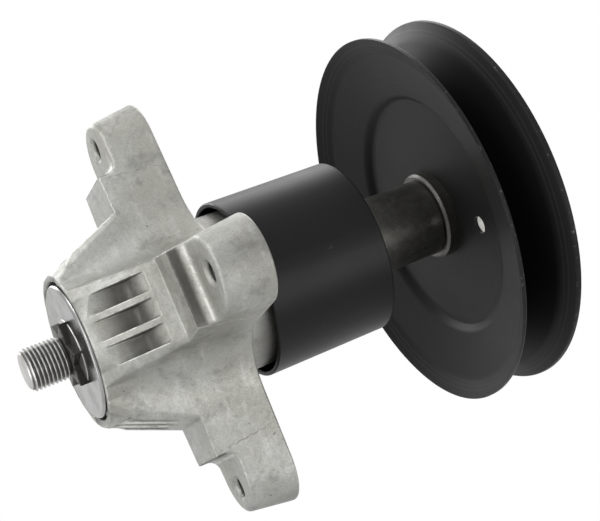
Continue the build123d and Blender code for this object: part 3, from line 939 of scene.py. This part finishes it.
class SPINDLE_OT_bearings(bpy.types.Operator):
    """Finishes the rings, balls, cages and seals of both bearings"""

    bl_idname = "spindle.bearings"
    bl_label = "Bearings"

    def execute(self, context):
        look = context.scene.spindle_finishes
        ground = turned_steel(look, "ground_steel", rough=0.20)
        rubber = seal_rubber(look)
        ball = polished_steel(look, "ball_steel")
        for place in ("lower", "upper"):
            for part in ("outer_ring", "inner_ring", "cage"):
                dress(f"{place}_bearing_{part}", ground)
            dress(f"{place}_bearing_balls", ball)
            for part in ("lower_seal", "upper_seal"):
                dress(f"{place}_bearing_{part}", rubber)
        return {"FINISHED"}


class SPINDLE_OT_spacers(bpy.types.Operator):
    """Finishes the two tubes on the shaft in dark oxide"""

    bl_idname = "spindle.spacers"
    bl_label = "Spacers"

    def execute(self, context):
        oxide = dark_oxide(context.scene.spindle_finishes)
        dress("spacer_tube", oxide)
        dress("bearing_spacer", oxide)
        return {"FINISHED"}


class SPINDLE_OT_dust_sleeve(bpy.types.Operator):
    """Finishes the moulded sleeve in satin black plastic"""

    bl_idname = "spindle.dust_sleeve"
    bl_label = "Dust sleeve"

    def execute(self, context):
        dress("dust_sleeve", sleeve_plastic(context.scene.spindle_finishes))
        return {"FINISHED"}


class SPINDLE_OT_belt_pulley(bpy.types.Operator):
    """Paints the two pulley halves and finishes their hub"""

    bl_idname = "spindle.belt_pulley"
    bl_label = "Belt pulley"

    def execute(self, context):
        look = context.scene.spindle_finishes
        paint = pulley_paint(look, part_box("pulley_lower_half")[1].x)
        dress("pulley_lower_half", paint)
        dress("pulley_upper_half", paint)
        dress("pulley_hub", dark_oxide(look, "hub_oxide", bright=0.75))
        return {"FINISHED"}


class SPINDLE_OT_flange_nut(bpy.types.Operator):
    """Cuts the flange nut with chamfered corners"""

    bl_idname = "spindle.flange_nut"
    bl_label = "Flange nut"

    def execute(self, context):
        sizes = context.scene.spindle_sizes
        zinc = zinc_plate(context.scene.spindle_finishes)
        dress("flange_nut", zinc)
        shape = spun(self.rows(*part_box("flange_nut"), sizes), NUT_SEGMENTS, closed=True)
        nut = piece("flange_nut_cut", shape, zinc, SHAFT_BODY, sharp=28.0)
        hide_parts("flange_nut")
        return {"FINISHED"}

    @staticmethod
    def rows(low, high, sizes):
        """Rows round the nut: the flange, its cone, the flats, the corner chamfers and the bore."""
        flange, flats, bore = high.x, sizes.nut_flats / 2, sizes.nut_bore
        corner = flats / math.cos(math.pi / 6)
        shoulder = low.z + sizes.nut_flange
        # Heights of the flange's bevel, rim and cone; how far the corner chamfer starts over the
        # corners and ends under the flats; the width and the depth of the bore's lead-in
        bevel, rim, cone, over, under, mouth, lead = mm(0.3, 1.4, 1.8, 0.2, 0.4, 0.8, 0.7)

        def hexagon(limit=math.inf):
            def radius(angle):
                side = (angle + math.pi / 6) % (math.pi / 3) - math.pi / 6
                return min(flats / math.cos(side), limit)
            return radius

        def foot(angle):
            return max(hexagon()(angle) + over, sizes.nut_foot)

        rows = [(bore, low.z), (flange - bevel, low.z), (flange, low.z + bevel)]
        rows += [(flange, low.z + rim), (flange - under, low.z + cone)]
        rows += [(foot, shoulder - under), (hexagon(), shoulder)]
        widest, least = corner + over, flats - under
        drop = (corner - flats) * 0.6
        for step in range(CHAMFER_STEPS + 1):
            share = step / CHAMFER_STEPS
            limit = widest + (least - widest) * share
            rows.append((hexagon(limit), high.z - drop * (1 - share)))
        return rows + [(bore + mouth, high.z), (bore, high.z - lead)]


class SPINDLE_PT_panel(bpy.types.Panel):
    """Lists the steps that dress the spindle"""

    bl_idname = "SPINDLE_PT_panel"
    bl_label = "Spindle"
    bl_space_type = "VIEW_3D"
    bl_region_type = "UI"
    bl_category = "Spindle"

    def draw(self, context):
        for step in STEPS:
            self.layout.operator(step.bl_idname)


STEPS = (
    SPINDLE_OT_stage,
    SPINDLE_OT_cast_housing,
    SPINDLE_OT_turned_shaft,
    SPINDLE_OT_dust_shield,
    SPINDLE_OT_bearings,
    SPINDLE_OT_spacers,
    SPINDLE_OT_dust_sleeve,
    SPINDLE_OT_belt_pulley,
    SPINDLE_OT_flange_nut,
)
GROUPS = {
    "spindle_sizes": SpindleSizes,
    "spindle_finishes": SpindleFinishes,
    "spindle_stage": SpindleStage,
}
CLASSES = (*GROUPS.values(), *STEPS, SPINDLE_PT_panel)


def register():
    """Registers the property groups, the steps and the panel."""
    for made in CLASSES:
        bpy.utils.register_class(made)
    for name, group in GROUPS.items():
        setattr(bpy.types.Scene, name, PointerProperty(type=group))


def unregister():
    """Takes everything that register adds away again."""
    for name in GROUPS:
        delattr(bpy.types.Scene, name)
    for made in reversed(CLASSES):
        bpy.utils.unregister_class(made)


def main():
    """Registers and runs every step that dresses the whole spindle."""
    register()
    for step in STEPS:
        group, name = step.bl_idname.split(".")
        getattr(getattr(bpy.ops, group), name)()


if __name__ == "__main__":
    main()
